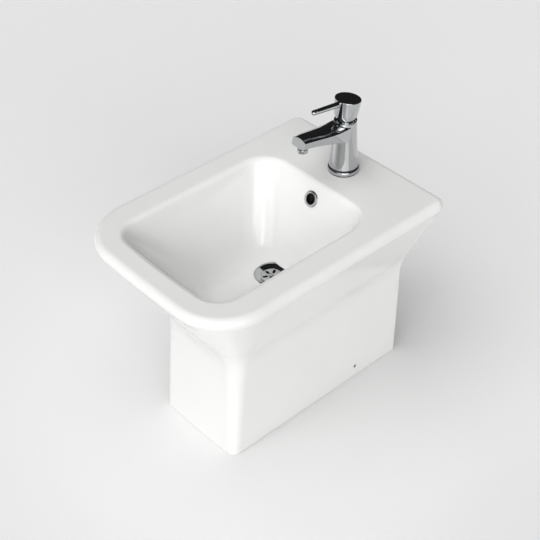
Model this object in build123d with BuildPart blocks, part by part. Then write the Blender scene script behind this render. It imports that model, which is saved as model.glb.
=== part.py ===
from build123d import *
import os
from math import atan2, cos, radians, sin

# A floor standing bidet that stands against the wall, with its single lever mixer tap, grated
# waste and bottle trap. X runs across it, -Y is its front, +Y its wall side, Z is up from the floor.

# ---- Driving dimensions, in mm ----

# China, outside; the rim's sizes are those where its flare meets the crest
rim_height = 400
rim_width = 362.4
rim_front = 256
body_depth = 508
rim_bow = 5
rim_front_radius = 95
rim_rear_radius = 20
crest_radius = 12
waist_height = 212
waist_width = 186
waist_front = 144
waist_bow = 3
waist_radius = 27
waist_blend = 26
foot_width = 186
foot_front = 154
foot_bow = 2
foot_radius = 16
upright_rear_radius = 3.5

# China, inside
china_wall = 11
deck_thickness = 13
apron_height = 290
bowl_depth = 142
bowl_width = 255
bowl_front = 210
bowl_rear = 127
bowl_bow = 6
bowl_front_radius = 40
bowl_rear_radius = 48
bowl_lip_radius = 12
floor_width = 124
floor_front = 108
floor_rear = 60
floor_corner_radius = 52
floor_edge_radius = 40

# Waste, on its own upright axis
waste_y = 24
waste_hole_radius = 21.4
waste_boss_radius = 36
waste_boss_depth = 45
flange_radius = 31.5
flange_thickness = 5.5
flange_dish_radius = 27.5
flange_chamfer = 1
flange_stand = 1
flange_seal_thickness = 1.5
seal_margin = 0.5
tail_radius = 20.9
tail_bore = 17
tail_length = 84
grid_radius = 18.8
grid_thickness = 2
grid_depth = 4.5
grid_slots = 6
grid_slot_middle = 11.7
grid_slot_length = 9.4
grid_slot_width = 4.6
window_width = 18
window_height = 14
bridge_height = 6
bridge_width = 7
waste_screw_radius = 2.5
waste_screw_length = 36
screw_slot = 1
washer_radius = 33
washer_thickness = 4
backnut_thickness = 10
backnut_flats = 56

# Overflow
overflow_drop = 27
overflow_hole_radius = 11
overflow_ring_radius = 14.3
overflow_ring_thickness = 2.2
overflow_sleeve_length = 8
overflow_sleeve_wall = 1
duct_bore = 9
duct_wall = 7
duct_behind = 17
duct_drop = 22

# Bottle trap, under the waste
trap_tube_radius = 16
trap_tube_wall = 1.5
trap_nut_radius = 26
trap_nut_height = 20
trap_nut_grooves = 12
trap_nut_groove_radius = 1.6
trap_small_nut_radius = 24
trap_small_nut_height = 13.5
trap_seal_thickness = 2.5
trap_neck_radius = 20
trap_shell_radius = 33
trap_shell_wall = 3
trap_shell_height = 54
trap_outlet_rise = 26
trap_spigot_length = 26
trap_cup_depth = 56
trap_cup_base_radius = 24
trap_thread_height = 12
dip_clearance = 20
outlet_setback = 4
outlet_bead = 1.2

# Mixer tap, on its own upright axis
tap_setback = 65
tap_hole_radius = 17.5
base_radius = 27
base_seal_thickness = 2
base_height = 9
body_seal_radius = 25.2
body_seal_thickness = 2.8
body_foot_radius = 25.5
body_mid_radius = 21.5
body_top_radius = 19.4
body_top = 99.5
shank_radius = 16.5
shank_depth = 11
spout_reach = 109.5
spout_root_reach = 19
spout_tip_top = 105.3
spout_root_top = 94
spout_crown = 4
spout_tip_under = 93
spout_root_drop = 24
spout_tip_width = 27.5
spout_root_width = 38.4
spout_under_bend = 1.6
spout_width_bend = 2.4
spout_steps = 8
spout_shoulder_radius = 2
spout_edge_radius = 3
spout_end_slant = 15
waterway_radius = 3.8
waterway_rise = 88.5
waterway_mid_reach = 62
waterway_mid_rise = 93
waterway_end_rise = 103.6

# Cartridge and handle; their heights are from the pivot of the lever
pivot_rise = 111
chamber_radius = 13.2
chamber_depth = 38.2
cartridge_wall = 1.5
cartridge_floor = 12
cartridge_seal_thickness = 1
cartridge_shoulder = 18.5
cartridge_top_gap = 0.5
nut_chamber_radius = 16
disc_thickness = 3.5
disc_radius = 8.4
disc_setback = 1.4
disc_rise = 16.1
inlet_slot_radius = 2.2
outlet_slot_radius = 3.2
port_radius = 3.2
carrier_thickness = 4.4
rotor_thickness = 3.6
rotor_slot_front = 7.5
rotor_slot_rear = 5
cheek_radius = 7.5
cheek_height = 5
stem_side = 7
stem_foot = 6.5
stem_arm = 9.4
stem_neck_radius = 1.4
stem_ball_radius = 2
stem_height = 22.5
pin_radius = 1.5
pin_length = 13
dome_radius = 18
dome_wall = 1.4
dome_top = 6
dome_rim_radius = 19
dome_rim_thickness = 0.8
handle_skirt = 0.8
handle_foot_radius = 19.8
handle_top_radius = 22.8
handle_top = 28.4
handle_wall = 1.5
handle_roof = 3.8
handle_edge_radius = 1.6
handle_tilt = 8.5
socket_radius = 7
socket_height = 15.5
lever_pad_radius = 6
lever_seat = 18.5
lever_drop = 6.5
lever_radius = 5.2
lever_tip_radius = 4.4
lever_reach = 83
lever_groove = 7
lever_groove_width = 1
lever_groove_depth = 0.5
lever_spigot_radius = 2.5
lever_spigot_end = 8.5
grub_radius = 2
grub_length = 8
grub_socket = 2
grub_pad_radius = 4.5
grub_drop = 9.5
plug_radius = 3
plug_thickness = 1.6
plug_face = 21.7

# Tap fixing and supply tails
stud_y = -10
stud_radius = 4
stud_length = 72
horseshoe_radius = 25
horseshoe_slot = 30
horseshoe_slot_start = 5.5
horseshoe_rubber = 4
horseshoe_plate = 2.5
fixing_nut_flats = 13
fixing_nut_height = 8
tail_pipe_radius = 5
tail_pipe_wall = 0.8
tail_pipe_x = 8
tail_spread = 28
tail_bend_top = 48
tail_bend_bottom = 92
tail_pipe_length = 240
tail_bend_radius = 18

# Swivel aerator, under the tip of the spout
aerator_reach = 98
aerator_boss_radius = 10.6
aerator_bore = 9
aerator_throat = 7.7
aerator_boss_bottom = 92.5
aerator_boss_depth = 11
ball_radius = 7.2
ball_rise = 94.5
collar_flange_radius = 10.4
collar_flange_thickness = 2.7
collar_thread_height = 5
aerator_seal_thickness = 2.2
seat_thickness = 2.8
seat_bore = 4.5
nozzle_neck = 4.2
nozzle_bore = 2.8
nozzle_radius = 8.8
nozzle_drop = 7.9
nozzle_height = 7.1
nozzle_wall = 1.2
nozzle_edge_radius = 0.8
insert_setback = 0.8
insert_thickness = 4.4
insert_hole_radius = 0.8
insert_hole_pitch = 2.3

# Floor fixing
fixing_setback = 107
fixing_height = 24
fixing_screw_radius = 2.5
fixing_head_radius = 4
fixing_head_height = 5
fixing_head_sink = 1
fixing_key = 4
fixing_key_depth = 3
fixing_screw_length = 22
bracket_width = 40
bracket_height = 38
bracket_thickness = 3
bracket_foot = 38
bracket_bend_radius = 3
bracket_slot_inset = 24
bracket_slot_width = 7
bracket_slot_length = 16
bracket_nut_radius = 6
bracket_nut_height = 6
pad_thickness = 2

# Clearances
slip_fit = 0.15
thread_fit = 0.1
hinge_fit = 0.05
moving_gap = 0.3
overrun = 2

# ---- Places worked out from them ----
rear = body_depth / 2
tap_y = rear - tap_setback
fixing_y = rear - fixing_setback
bowl_floor = rim_height - bowl_depth
pivot_z = rim_height + pivot_rise
waste_at = (0, waste_y)
tap_at = (0, tap_y)


# ---- Shapes used by more than one piece ----
def post(low, high, radius, at=(0, 0), mode=Mode.ADD):
    """An upright round bar, added to or cut from the piece being made"""
    with BuildSketch(Plane.XY.offset(low)) as section:
        with Locations(at):
            Circle(radius)
    extrude(section.sketch, amount=high - low, mode=mode)


def ring(low, high, outer, inner, at=(0, 0), mode=Mode.ADD):
    """An upright round tube or washer"""
    with BuildSketch(Plane.XY.offset(low)) as section:
        with Locations(at):
            Circle(outer)
            Circle(inner, mode=Mode.SUBTRACT)
    extrude(section.sketch, amount=high - low, mode=mode)


def upright(y, z=0):
    """The plane of an upright turned section, whose Y is the turning axis"""
    return Plane(origin=(0, y, z), x_dir=(1, 0, 0), z_dir=(0, -1, 0))


def turned(outline, plane, mode=Mode.ADD):
    """A form turned about a plane's Y axis, from its (radius, height) corners"""
    with BuildSketch(plane) as section:
        with BuildLine():
            Polyline(*outline, close=True)
        make_face()
    revolve(section.sketch, axis=Axis(plane.origin, plane.y_dir), mode=mode)


def hexagon(low, high, flats, at=(0, 0), mode=Mode.ADD):
    """An upright six-sided bar of a given size across flats"""
    with BuildSketch(Plane.XY.offset(low)) as section:
        with Locations(at):
            RegularPolygon(flats / 2, 6, major_radius=False)
    extrude(section.sketch, amount=high - low, mode=mode)


def run(start, end, radius, mode=Mode.ADD):
    """A straight round bar between two points"""
    reach = Vector(*end) - Vector(*start)
    with BuildSketch(Plane(origin=start, z_dir=reach)) as section:
        Circle(radius)
    extrude(section.sketch, amount=reach.length, mode=mode)


def bar(plane, near, far, radius, mode=Mode.ADD):
    """A round bar along a plane's normal, between two distances from its origin"""
    with BuildSketch(plane.offset(near)) as section:
        Circle(radius)
    extrude(section.sketch, amount=far - near, mode=mode)


def knee(centre, radius, mode=Mode.ADD):
    """The ball that rounds the corner where two runs meet"""
    with Locations(centre):
        Sphere(radius, mode=mode)


def rounded_outline(z, half_width, front, back, front_radius, back_radius, bow):
    """A plan outline with a straight back, rounded corners and a bowed front edge"""
    with BuildSketch(Plane.XY.offset(z)) as outline:
        with BuildLine():
            Polyline((-half_width, front), (-half_width, back), (half_width, back), (half_width, front))
            ThreePointArc((half_width, front), (0, front - bow), (-half_width, front))
        make_face()
        fillet(outline.vertices().group_by(Axis.Y)[0], front_radius)
        fillet(outline.vertices().group_by(Axis.Y)[-1], back_radius)
    return outline.sketch


# ---- China ----
def flared(foot, waist, rim, z):
    """A size of the outline at a height: straight below and above the waist, and eased round it"""
    below = (waist - foot) / waist_height
    above = (rim - waist) / (rim_height - crest_radius - waist_height)
    past = z - waist_height
    if past <= -waist_blend:
        eased = 0
    elif past < waist_blend:
        eased = (past + waist_blend) ** 2 / (4 * waist_blend)
    else:
        eased = past
    return foot + below * z + (above - below) * eased


def china_loft(heights, inset, back, ruled):
    """A length of the body's outside form, or of the same form drawn in by a wall"""
    sections = []
    for z in heights:
        bow = flared(foot_bow, waist_bow, rim_bow, z)
        section = rounded_outline(
            z,
            flared(foot_width, waist_width, rim_width, z) / 2 - inset,
            bow + inset - flared(foot_front, waist_front, rim_front, z),
            back,
            flared(foot_radius, waist_radius, rim_front_radius, z) - inset,
            flared(upright_rear_radius, upright_rear_radius, rim_rear_radius, z),
            bow,
        )
        sections.append(section)
    loft(sections, ruled=ruled)


def china_form(low, high, inset, back):
    """The whole form: straight pedestal, eased waist and straight flare"""
    blend_low = waist_height - waist_blend
    blend_high = waist_height + waist_blend
    china_loft([low, blend_low], inset, back, True)
    china_loft([blend_low + (blend_high - blend_low) * step / 4 for step in range(5)], inset, back, False)
    china_loft([blend_high, high], inset, back, True)


def bowl_form(low, high, outset):
    """The bowl's inside, or the same form let out by a wall"""
    sections = []
    for z in (low, high):
        share = (z - bowl_floor) / bowl_depth
        front = floor_front + (bowl_front - floor_front) * share
        back = floor_rear + (bowl_rear - floor_rear) * share
        width = floor_width + (bowl_width - floor_width) * share
        front_radius = floor_corner_radius + (bowl_front_radius - floor_corner_radius) * share
        rear_radius = floor_corner_radius + (bowl_rear_radius - floor_corner_radius) * share
        section = rounded_outline(
            z,
            width / 2 + outset,
            bowl_bow - front - outset,
            back + outset,
            front_radius + outset,
            rear_radius + outset,
            bowl_bow,
        )
        sections.append(section)
    loft(sections, ruled=True)


with BuildPart() as bowl_space:
    bowl_form(bowl_floor, rim_height + overrun, 0)
    fillet(bowl_space.faces().sort_by(Axis.Z)[0].edges(), floor_edge_radius)

with BuildPart() as bowl_shell:
    bowl_form(bowl_floor - china_wall, rim_height - deck_thickness / 2, china_wall)
    fillet(bowl_shell.faces().sort_by(Axis.Z)[0].edges(), floor_edge_radius + china_wall)

with BuildPart() as china_hollow:
    china_form(-overrun, rim_height - deck_thickness, china_wall, rear + overrun)
    with BuildSketch(Plane.XY.offset(apron_height)):
        with Locations((0, rear)):
            Rectangle(rim_width, 2 * china_wall)
    extrude(amount=bowl_depth, mode=Mode.SUBTRACT)

# The overflow lies on the bowl's rear wall, square to it, and its duct runs down behind the wall
wall_lean = atan2(bowl_rear - floor_rear, bowl_depth)
overflow_z = rim_height - overflow_drop
overflow_y = bowl_rear - overflow_drop * (bowl_rear - floor_rear) / bowl_depth
overflow_plane = Plane(
    origin=(0, overflow_y, overflow_z), x_dir=(1, 0, 0), z_dir=(0, -cos(wall_lean), sin(wall_lean))
)
duct_radius = duct_bore + duct_wall
duct_z = bowl_floor - duct_drop
duct_top = (0, overflow_y + duct_behind * cos(wall_lean), overflow_z - duct_behind * sin(wall_lean))
duct_fall = (duct_top[2] - duct_z) * sin(wall_lean) / cos(wall_lean)
duct_bottom = (0, duct_top[1] - duct_fall, duct_z)
duct_end = (0, waste_y, duct_z)

# The waste sits in a shallow seat in the bowl's floor, over a boss that its washer bears on
flange_top = bowl_floor + flange_stand
flange_under = flange_top - flange_thickness
waste_seat = flange_under - flange_seal_thickness
waste_boss_under = bowl_floor - waste_boss_depth

# The fixing screws go square through the pedestal's side walls, which lean if the waist and foot differ
side_lean = atan2((waist_width - foot_width) / 2, waist_height)
fixing_x = flared(foot_width, waist_width, rim_width, fixing_height) / 2


def side_plane(side, depth=0):
    """The plane across one side's fixing screw, at a depth into its wall; its normal points outwards"""
    outwards = Vector(side * cos(side_lean), 0, -sin(side_lean))
    on_wall = Vector(side * fixing_x, fixing_y, fixing_height)
    return Plane(origin=on_wall - outwards * depth, x_dir=(0, side, 0), z_dir=outwards)


with BuildPart() as china_body:
    china_form(0, rim_height, 0, rear)
    add(china_hollow.part, mode=Mode.SUBTRACT)
    add(bowl_shell.part)
    post(waste_boss_under, bowl_floor, waste_boss_radius, waste_at)
    run(duct_top, duct_bottom, duct_radius)
    run(duct_bottom, duct_end, duct_radius)
    knee(duct_top, duct_radius)
    knee(duct_bottom, duct_radius)
    add(bowl_space.part, mode=Mode.SUBTRACT)
    run(duct_top, duct_bottom, duct_bore, Mode.SUBTRACT)
    run(duct_bottom, duct_end, duct_bore, Mode.SUBTRACT)
    knee(duct_top, duct_bore, Mode.SUBTRACT)
    knee(duct_bottom, duct_bore, Mode.SUBTRACT)
    fillet(china_body.faces().sort_by(Axis.Z)[-1].outer_wire().edges(), crest_radius)
    fillet(china_body.faces().sort_by(Axis.Z)[-1].inner_wires()[0].edges(), bowl_lip_radius)
    bar(overflow_plane, -duct_behind, china_wall, overflow_hole_radius, Mode.SUBTRACT)
    post(waste_seat, bowl_floor + overrun, flange_radius + slip_fit, waste_at, Mode.SUBTRACT)
    post(waste_boss_under - duct_radius, bowl_floor, waste_hole_radius, waste_at, Mode.SUBTRACT)
    post(rim_height - 2 * deck_thickness, rim_height + overrun, tap_hole_radius, tap_at, Mode.SUBTRACT)
    for side in (-1, 1):
        head_seat = -fixing_head_sink - fixing_head_height
        bar(side_plane(side), head_seat, overrun, fixing_head_radius + slip_fit, Mode.SUBTRACT)
        bar(side_plane(side), -2 * china_wall, 0, fixing_screw_radius + slip_fit, Mode.SUBTRACT)

with BuildPart() as overflow_ring:
    sleeve_radius = overflow_hole_radius - slip_fit
    sleeve_bore = sleeve_radius - overflow_sleeve_wall
    bar(overflow_plane, 0, overflow_ring_thickness, overflow_ring_radius)
    ring_rim = overflow_ring.edges().group_by(Axis((0, 0, 0), overflow_plane.z_dir))[-1]
    fillet(ring_rim, overflow_ring_thickness / 2)
    bar(overflow_plane, -overflow_sleeve_length, 0, sleeve_radius)
    bar(overflow_plane, -overflow_sleeve_length, overflow_ring_thickness, sleeve_bore, Mode.SUBTRACT)


# ---- Waste ----
waste_plane = upright(waste_y)

with BuildPart() as waste_flange_seal:
    ring(waste_seat, flange_under, flange_radius - seal_margin, waste_hole_radius, waste_at)

grid_top = flange_top - grid_depth
grid_under = grid_top - grid_thickness
tail_end = flange_top - tail_length
bridge_top = duct_z - window_height / 2
bridge_under = bridge_top - bridge_height

with BuildPart() as waste_body:
    turned(
        [
            (tail_bore, tail_end),
            (tail_radius, tail_end),
            (tail_radius, flange_under),
            (flange_radius, flange_under),
            (flange_radius, flange_top - flange_chamfer),
            (flange_radius - flange_chamfer, flange_top),
            (flange_dish_radius, flange_top),
            (grid_radius + slip_fit, grid_top),
            (grid_radius + slip_fit, grid_under),
            (tail_bore, grid_under),
        ],
        waste_plane,
    )
    with BuildSketch(Plane.XY.offset(bridge_under)):
        with Locations(waste_at):
            Rectangle(tail_bore + tail_radius, bridge_width)
            Circle(bridge_width)
            Circle(waste_screw_radius + thread_fit, mode=Mode.SUBTRACT)
    extrude(amount=bridge_height)
    with Locations((0, waste_y, duct_z)):
        Box(window_width, 4 * tail_radius, window_height, mode=Mode.SUBTRACT)

with BuildPart() as waste_grid:
    post(grid_under, grid_top, grid_radius, waste_at)
    with BuildSketch(Plane.XY.offset(grid_under)):
        with Locations(waste_at):
            with PolarLocations(grid_slot_middle, grid_slots):
                SlotOverall(grid_slot_length, grid_slot_width)
    extrude(amount=grid_thickness, mode=Mode.SUBTRACT)
    post(grid_under, grid_top, waste_screw_radius + slip_fit, waste_at, Mode.SUBTRACT)

with BuildPart() as waste_screw:
    post(grid_top, grid_top + waste_screw_radius, 2 * waste_screw_radius, waste_at)
    fillet(waste_screw.edges().sort_by(Axis.Z)[-1], waste_screw_radius / 2)
    post(grid_top - waste_screw_length, grid_top, waste_screw_radius, waste_at)
    with Locations((0, waste_y, grid_top + waste_screw_radius)):
        Box(4 * waste_screw_radius, screw_slot, waste_screw_radius, mode=Mode.SUBTRACT)

washer_under = waste_boss_under - washer_thickness
backnut_under = washer_under - backnut_thickness

with BuildPart() as waste_washer:
    ring(washer_under, waste_boss_under, washer_radius, tail_radius + slip_fit, waste_at)

with BuildPart() as waste_backnut:
    hexagon(backnut_under, washer_under, backnut_flats, waste_at)
    post(backnut_under, washer_under, tail_radius + thread_fit, waste_at, Mode.SUBTRACT)


# ---- Bottle trap ----
collar_top = tail_end - trap_seal_thickness
collar_under = collar_top - trap_seal_thickness
inlet_nut_under = collar_under - trap_seal_thickness
neck_top = inlet_nut_under - 2 * trap_seal_thickness - overrun
shell_top = neck_top - trap_thread_height
shell_under = shell_top - trap_shell_height
outlet_z = shell_under + trap_outlet_rise
cup_shoulder = shell_under - trap_seal_thickness
cup_under = cup_shoulder - trap_cup_depth
dip_end = cup_under + dip_clearance
shell_inside = trap_shell_radius - trap_shell_wall
spigot_end = waste_y + trap_shell_radius + trap_spigot_length
outlet_plane = Plane(origin=(0, waste_y, outlet_z), x_dir=(1, 0, 0), z_dir=(0, 1, 0))


def trap_nut(low, high, outer, thread, tube):
    """A hand nut with an inner lip: corners of its section"""
    lip = trap_seal_thickness
    return [
        (tube + slip_fit, low),
        (outer, low),
        (outer, high),
        (thread + thread_fit, high),
        (thread + thread_fit, low + lip),
        (tube + slip_fit, low + lip),
    ]


with BuildPart() as trap_inlet_nut:
    inlet_nut_top = inlet_nut_under + trap_nut_height
    corners = trap_nut(inlet_nut_under, inlet_nut_top, trap_nut_radius, tail_radius, trap_tube_radius)
    turned(corners, waste_plane)
    with BuildSketch(Plane.XY.offset(inlet_nut_under)):
        with Locations(waste_at):
            with PolarLocations(trap_nut_radius, trap_nut_grooves):
                Circle(trap_nut_groove_radius)
    extrude(amount=trap_nut_height, mode=Mode.SUBTRACT)

with BuildPart() as trap_inlet_seal:
    ring(collar_top, tail_end, tail_radius - seal_margin, trap_tube_radius, waste_at)

with BuildPart() as trap_inlet_tube:
    post(dip_end, collar_top, trap_tube_radius, waste_at)
    post(collar_under, collar_top, tail_radius - seal_margin, waste_at)
    post(dip_end, collar_top, trap_tube_radius - trap_tube_wall, waste_at, Mode.SUBTRACT)

small_nut = trap_nut(0, trap_small_nut_height, trap_small_nut_radius, trap_neck_radius, trap_tube_radius)
neck_seal_radius = trap_neck_radius - seal_margin

with BuildPart() as trap_neck_nut:
    lip_top = neck_top + 2 * trap_seal_thickness
    turned([(radius, lip_top - height) for radius, height in small_nut], waste_plane)

with BuildPart() as trap_neck_seal:
    ring(neck_top, neck_top + trap_seal_thickness, neck_seal_radius, trap_tube_radius + thread_fit, waste_at)

with BuildPart() as trap_shell:
    turned(
        [
            (shell_inside, shell_under),
            (trap_shell_radius, shell_under),
            (trap_shell_radius, shell_top),
            (trap_neck_radius, shell_top),
            (trap_neck_radius, neck_top),
            (trap_tube_radius + slip_fit, neck_top),
            (trap_tube_radius + slip_fit, shell_top - trap_shell_wall),
            (shell_inside, shell_top - trap_shell_wall),
        ],
        waste_plane,
    )
    spigot_reach = trap_shell_radius + trap_spigot_length
    bar(outlet_plane, shell_inside, spigot_reach, trap_neck_radius)
    bar(outlet_plane, 0, spigot_reach, trap_tube_radius + slip_fit, Mode.SUBTRACT)
    post(shell_under, shell_top - trap_shell_wall, shell_inside, waste_at, Mode.SUBTRACT)

with BuildPart() as trap_cup_seal:
    ring(cup_shoulder, shell_under, trap_shell_radius - seal_margin, shell_inside, waste_at)

with BuildPart() as trap_cup:
    thread = shell_inside - thread_fit
    inside = thread - trap_shell_wall
    turned(
        [
            (0, cup_under),
            (trap_cup_base_radius, cup_under),
            (shell_inside, cup_shoulder - 2 * trap_thread_height),
            (trap_shell_radius, cup_shoulder - trap_thread_height),
            (trap_shell_radius, cup_shoulder),
            (thread, cup_shoulder),
            (thread, shell_under + trap_thread_height),
            (inside, shell_under + trap_thread_height),
            (inside, cup_shoulder - 2 * trap_thread_height),
            (trap_cup_base_radius - trap_shell_wall, cup_under + trap_shell_wall),
            (0, cup_under + trap_shell_wall),
        ],
        waste_plane,
    )

with BuildPart() as trap_outlet_nut:
    lip_end = spigot_end + 2 * trap_seal_thickness
    turned([(radius, lip_end - height) for radius, height in small_nut], Plane.XY.offset(outlet_z))

with BuildPart() as trap_outlet_seal:
    seal_plane = outlet_plane.offset(spigot_end - waste_y)
    bar(seal_plane, 0, trap_seal_thickness, neck_seal_radius)
    bar(seal_plane, 0, trap_seal_thickness, trap_tube_radius + thread_fit, Mode.SUBTRACT)

with BuildPart() as trap_outlet_pipe:
    pipe_end = rear - outlet_setback - waste_y
    pipe_middle = trap_tube_radius - trap_tube_wall / 2
    bead_foot = lip_end + moving_gap
    bar(outlet_plane, trap_shell_radius, pipe_end, trap_tube_radius)
    turned(
        [
            (pipe_middle, bead_foot),
            (trap_tube_radius, bead_foot),
            (trap_tube_radius + outlet_bead, bead_foot + outlet_bead),
            (trap_tube_radius, bead_foot + 2 * outlet_bead),
            (pipe_middle, bead_foot + 2 * outlet_bead),
        ],
        Plane.XY.offset(outlet_z),
    )
    bar(outlet_plane, trap_shell_radius, pipe_end, trap_tube_radius - trap_tube_wall, Mode.SUBTRACT)


# ---- Mixer tap: body and fixing ----
base_seal_top = rim_height + base_seal_thickness
base_top = rim_height + base_height
body_foot = base_top + body_seal_thickness
body_shoulder = rim_height + body_top
chamber_floor = pivot_z - chamber_depth
nut_seat = pivot_z - cartridge_shoulder
spout_tip_y = tap_y - spout_reach
aerator_y = tap_y - aerator_reach
aerator_at = (0, aerator_y)
boss_under = rim_height + aerator_boss_bottom
bore_top = boss_under + aerator_boss_depth
thread_top = boss_under + collar_thread_height
spout_full_reach = spout_reach + overrun
shank_under = rim_height - shank_depth
stud_at = (0, tap_y + stud_y)
deck_under = rim_height - deck_thickness

with BuildPart() as tap_base_seal:
    ring(rim_height, base_seal_top, base_radius - seal_margin, shank_radius + slip_fit, tap_at)

with BuildPart() as tap_base_ring:
    ring(base_seal_top, base_top, base_radius, shank_radius + slip_fit, tap_at)
    fillet(tap_base_ring.edges().group_by(Axis.Z)[-1].sort_by(SortBy.RADIUS)[-1], body_seal_thickness)

with BuildPart() as tap_body_seal:
    ring(base_top, body_foot, body_seal_radius, shank_radius + slip_fit, tap_at)


def spout_section(outwards):
    """A section across the spout, from 0 at its root to 1: crowned, flat-sided and narrower to its tip"""
    reach = spout_root_reach + (spout_full_reach - spout_root_reach) * outwards
    rise = outwards**2 * (3 - 2 * outwards)
    top = spout_root_top + (spout_tip_top - spout_root_top) * rise
    under = spout_tip_under - spout_root_drop * (1 - outwards) ** spout_under_bend
    width = spout_root_width - (spout_root_width - spout_tip_width) * outwards**spout_width_bend
    side = top - under
    with BuildSketch(upright(tap_y - reach, rim_height + under)) as section:
        with BuildLine():
            Polyline((-width / 2, side), (-width / 2, 0), (width / 2, 0), (width / 2, side))
            ThreePointArc((width / 2, side), (0, side + spout_crown), (-width / 2, side))
        make_face()
        fillet(section.vertices().group_by(Axis.Y)[-1], spout_shoulder_radius)
        fillet(section.vertices().group_by(Axis.Y)[0], spout_edge_radius)
    return section.sketch


waterway_start = (0, tap_y - chamber_radius + overrun, rim_height + waterway_rise)
waterway_mid = (0, tap_y - waterway_mid_reach, rim_height + waterway_mid_rise)
waterway_end = (0, aerator_y, rim_height + waterway_end_rise)

with BuildPart() as tap_body:
    loft([spout_section(step / spout_steps) for step in range(spout_steps + 1)])
    extrude(spout_section(0), amount=-spout_root_reach)
    slant = radians(spout_end_slant)
    spout_foot = rim_height + spout_tip_under
    split(
        bisect_by=Plane(origin=(0, spout_tip_y, spout_foot), z_dir=(0, -cos(slant), sin(slant))),
        keep=Keep.BOTTOM,
    )
    with BuildSketch(upright(tap_y)):
        with BuildLine():
            Line((0, body_foot), (body_foot_radius, body_foot))
            ThreePointArc(
                (body_foot_radius, body_foot),
                (body_mid_radius, (body_foot + body_shoulder) / 2),
                (body_top_radius, body_shoulder),
            )
            Polyline((body_top_radius, body_shoulder), (0, body_shoulder), (0, body_foot))
        make_face()
    revolve(axis=Axis((0, tap_y, 0), (0, 0, 1)))
    post(shank_under, body_foot, shank_radius, tap_at)
    post(boss_under, spout_foot + overrun, aerator_boss_radius, aerator_at)
    post(boss_under - aerator_boss_depth, boss_under, aerator_boss_radius, aerator_at, Mode.SUBTRACT)
    run(waterway_start, waterway_mid, waterway_radius, Mode.SUBTRACT)
    run(waterway_mid, waterway_end, waterway_radius, Mode.SUBTRACT)
    knee(waterway_mid, waterway_radius, Mode.SUBTRACT)
    post(boss_under, thread_top + moving_gap, aerator_bore, aerator_at, Mode.SUBTRACT)
    post(boss_under, bore_top, aerator_throat, aerator_at, Mode.SUBTRACT)
    post(chamber_floor, body_shoulder, chamber_radius, tap_at, Mode.SUBTRACT)
    post(nut_seat, body_shoulder, nut_chamber_radius, tap_at, Mode.SUBTRACT)
    post(shank_under, body_foot, stud_radius + thread_fit, stud_at, Mode.SUBTRACT)
    for side in (-1, 1):
        inlet = (side * tail_pipe_x, tap_y)
        post(shank_under, chamber_floor, tail_pipe_radius - tail_pipe_wall, inlet, Mode.SUBTRACT)
        post(shank_under, rim_height, tail_pipe_radius + hinge_fit, inlet, Mode.SUBTRACT)


def horseshoe(low, high):
    """A washer with a slot that lets it slip round the tail pipes"""
    with BuildSketch(Plane.XY.offset(low)) as section:
        with Locations(tap_at):
            Circle(horseshoe_radius)
        with Locations((0, tap_y - horseshoe_slot_start + horseshoe_radius)):
            Rectangle(horseshoe_slot, 2 * horseshoe_radius, mode=Mode.SUBTRACT)
        with Locations(stud_at):
            Circle(stud_radius + slip_fit, mode=Mode.SUBTRACT)
    extrude(section.sketch, amount=high - low)


rubber_under = deck_under - horseshoe_rubber
plate_under = rubber_under - horseshoe_plate

with BuildPart() as tap_rubber_horseshoe:
    horseshoe(rubber_under, deck_under)

with BuildPart() as tap_plate_horseshoe:
    horseshoe(plate_under, rubber_under)

with BuildPart() as tap_stud:
    post(body_foot - stud_length, body_foot, stud_radius, stud_at)

with BuildPart() as tap_fixing_nut:
    hexagon(plate_under - fixing_nut_height, plate_under, fixing_nut_flats, stud_at)
    post(plate_under - fixing_nut_height, plate_under, stud_radius + thread_fit, stud_at, Mode.SUBTRACT)


def tail_pipe(side):
    """A bent copper supply tail, from its socket in the tap down to its free end"""
    high = rim_height
    with BuildLine() as route:
        FilletPolyline(
            (side * tail_pipe_x, tap_y, high),
            (side * tail_pipe_x, tap_y, high - tail_bend_top),
            (side * tail_spread, tap_y, high - tail_bend_bottom),
            (side * tail_spread, tap_y, high - tail_pipe_length),
            radius=tail_bend_radius,
        )
    with BuildSketch(Plane(origin=route.line @ 0, z_dir=route.line % 0)) as section:
        Circle(tail_pipe_radius)
        Circle(tail_pipe_radius - tail_pipe_wall, mode=Mode.SUBTRACT)
    sweep(section.sketch, path=route.line)


with BuildPart() as hot_tail_pipe:
    tail_pipe(-1)

with BuildPart() as cold_tail_pipe:
    tail_pipe(1)


# ---- Cartridge ----
housing_radius = chamber_radius - slip_fit
housing_inside = housing_radius - cartridge_wall
housing_foot = chamber_floor + cartridge_seal_thickness
housing_floor = housing_foot + cartridge_floor
housing_top = pivot_z - cartridge_top_gap
nut_foot = nut_seat + cartridge_wall
disc_face = pivot_z - disc_rise
disc_top = disc_face + disc_thickness
fixed_disc_under = disc_face - disc_thickness
carrier_top = disc_top + carrier_thickness
rotor_under = carrier_top + moving_gap
rotor_top = rotor_under + rotor_thickness
lean = radians(handle_tilt)
ball_y = tap_y - stem_arm * sin(lean)
inlet_slots = [(side * disc_radius / 2, tap_y + disc_radius / 2) for side in (-1, 1)]
outlet_slot = (0, tap_y - disc_radius / 2)
inlets = [(side * tail_pipe_x, tap_y) for side in (-1, 1)]

with BuildPart() as cartridge_base_seal:
    post(chamber_floor, housing_foot, housing_radius - seal_margin, tap_at)
    for inlet in inlets:
        post(chamber_floor, housing_foot, port_radius, inlet, Mode.SUBTRACT)

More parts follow.
